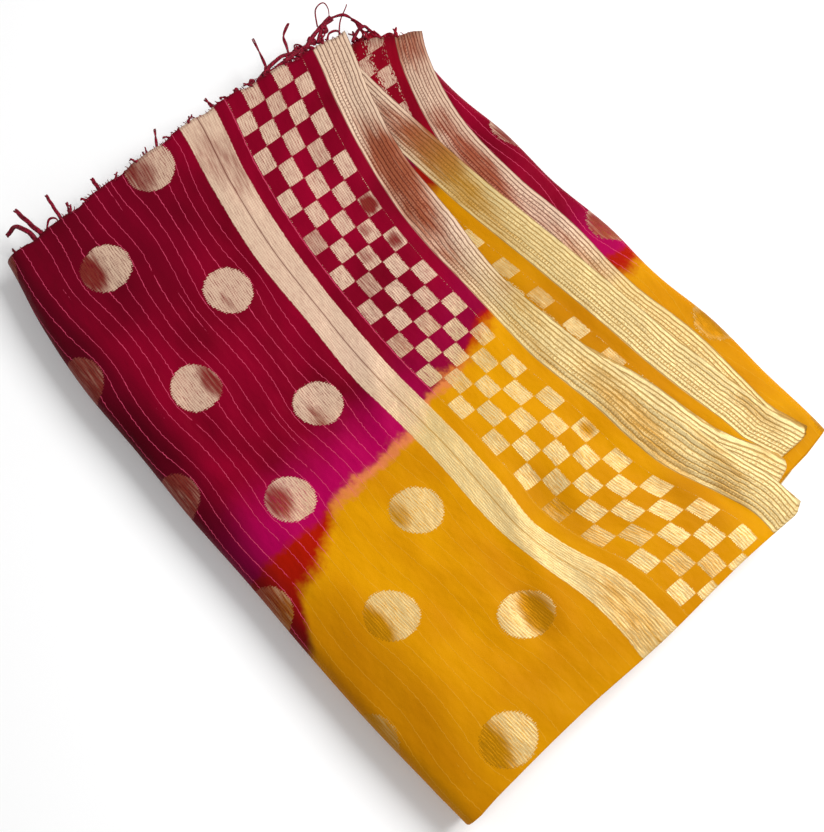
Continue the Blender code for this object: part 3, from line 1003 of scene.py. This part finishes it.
def add_thread(verts, faces, path, radius, phase):
    """One thread of a lock, as a thin tapering tube that winds round the lock's centre line."""
    start = len(verts)
    count = len(path)
    for i, point in enumerate(path):
        t = i / (count - 1)
        ahead = path[min(i + 1, count - 1)] - path[max(i - 1, 0)]
        ahead.normalize()
        side = ahead.cross(Vector((0, 0, 1))).normalized()
        up = side.cross(ahead)
        wind = phase + t * THREAD_TWIST
        spread = radius * (0.45 + 0.2 * t)
        centre = point + side * math.cos(wind) * spread + up * math.sin(wind) * spread * 0.7
        thick = radius * (1 - THREAD_TAPER * t)
        centre.z = max(centre.z, thick + 0.05)
        for k in range(THREAD_SIDES):
            angle = 2 * math.pi * k / THREAD_SIDES
            offset = (side * math.cos(angle) + up * math.sin(angle)) * thick
            verts.append(centre + offset)
    for i in range(count - 1):
        for k in range(THREAD_SIDES):
            a = start + i * THREAD_SIDES + k
            b = start + i * THREAD_SIDES + (k + 1) % THREAD_SIDES
            faces.append((a, a + THREAD_SIDES, b + THREAD_SIDES, b))
    faces.append(tuple(start + k for k in range(THREAD_SIDES)))
    faces.append(tuple(start + (count - 1) * THREAD_SIDES + k for k in reversed(range(THREAD_SIDES))))


def thread_material(name, dark, light):
    """Twisted silk thread in random dark and light streaks, the light ones partly a painted highlight."""
    material = bpy.data.materials.new(name)
    material.use_nodes = True
    tree = material.node_tree
    shader = tree.nodes["Principled BSDF"]
    place = tree.nodes.new("ShaderNodeTexCoord")
    streaks = tree.nodes.new("ShaderNodeTexNoise")
    streaks.inputs["Scale"].default_value = 900.0
    streaks.inputs["Detail"].default_value = 2.0
    tree.links.new(place.outputs["Object"], streaks.inputs["Vector"])
    amount = Signal(tree, streaks.outputs["Fac"]).step(0.35, 0.65)
    tree.links.new(mix(tree, amount, dark, light), shader.inputs["Base Color"])
    shader.inputs["Roughness"].default_value = 0.55
    shader.inputs["Sheen Weight"].default_value = 0.03
    shader.inputs["Specular IOR Level"].default_value = 0.12
    bump = tree.nodes.new("ShaderNodeBump")
    bump.inputs["Strength"].default_value = 0.5
    bump.inputs["Distance"].default_value = 0.0002
    tree.links.new(streaks.outputs["Fac"], bump.inputs["Height"])
    tree.links.new(bump.outputs[0], shader.inputs["Normal"])
    return material


def fringe_piece(name, node, cut, leaf, top_locks, seed, material):
    """All the locks and the short frayed threads of one cut end, as one joined mesh."""
    dice = random.Random(seed)
    row = fringe_row(cut, leaf)
    verts, faces = [], []
    locks = []
    if top_locks:
        x, y, z = row
        top = np.nonzero(STRETCH == 0)[0][::-1]
        for lock in top_locks:
            spot = dict(zip(LOCK_COLUMNS, lock))
            root = [float(np.interp(spot["y"], y[top], line[top])) for line in (x, y, z)]
            locks.append((root, spot["length"], spot["sway"], spot["threads"]))
    for pass_number in ((1, 2) if top_locks else (0, 1, 2)):
        for root in lock_places(row, pass_number, LOCK_SPACING, dice):
            length = dice.uniform(*LOCK_LENGTHS)
            locks.append((root, length, dice.uniform(-LOCK_SWAY, LOCK_SWAY), dice.randint(2, 3)))
    for root, length, sway, threads in locks:
        for thread in range(threads):
            curl = dice.uniform(-0.5, 0.5)
            shorter = length * dice.uniform(0.82, 1.0)
            path = lock_path(root, shorter, sway + dice.uniform(-1.2, 1.2), curl)
            add_thread(verts, faces, path, THREAD_RADIUS, thread * THREAD_WIND + dice.uniform(0, 1))
    for pass_number in (0, 1, 2):
        for root in lock_places(row, pass_number, FRAY_SPACINGS[pass_number], dice):
            length = dice.uniform(*FRAY_LENGTHS)
            path = lock_path(root, length, dice.uniform(-FRAY_SWAY, FRAY_SWAY), 0.0)[::3]
            add_thread(verts, faces, path, FRAY_RADIUS, dice.uniform(0, 6))
    for radius, threads, places in (STRAYS if top_locks else ()):
        for thread in range(threads):
            add_thread(verts, faces, loop_path(places), radius, thread * WHOLE_WIND / threads)
    for x, y, z, size in (TANGLES if top_locks else ()):
        for ring in range(int(3 + 2 * size)):
            add_thread(verts, faces, tangle_path(x, y, z, size, dice), KNOT_RADIUS, ring * KNOT_WIND)
    points = [((v.x - MIDDLE_X) * MM, (v.y - MIDDLE_Y) * MM, v.z * MM) for v in verts]
    mesh = bpy.data.meshes.new(name)
    mesh.from_pydata(points, [], faces)
    mesh.polygons.foreach_set("use_smooth", [True] * len(mesh.polygons))
    mesh.materials.append(material)
    piece = bpy.data.objects.new(name, mesh)
    bpy.context.scene.collection.objects.link(piece)
    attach(piece, "root")
    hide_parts(node)
    return piece


wine = thread_material("wine_thread", srgb("560012"), srgb("8c0a2a"))
rose = thread_material("rose_thread", srgb("680014"), srgb("98102a"))
top_fringe = fringe_piece(
    "fringe_top_threads", "fringe_top_end", "cut_1", 1, TOP_LOCKS, 5, wine,
)
under_fringe = fringe_piece(
    "fringe_under_threads", "fringe_under_end", "cut_6", 6, (), 9, rose,
)
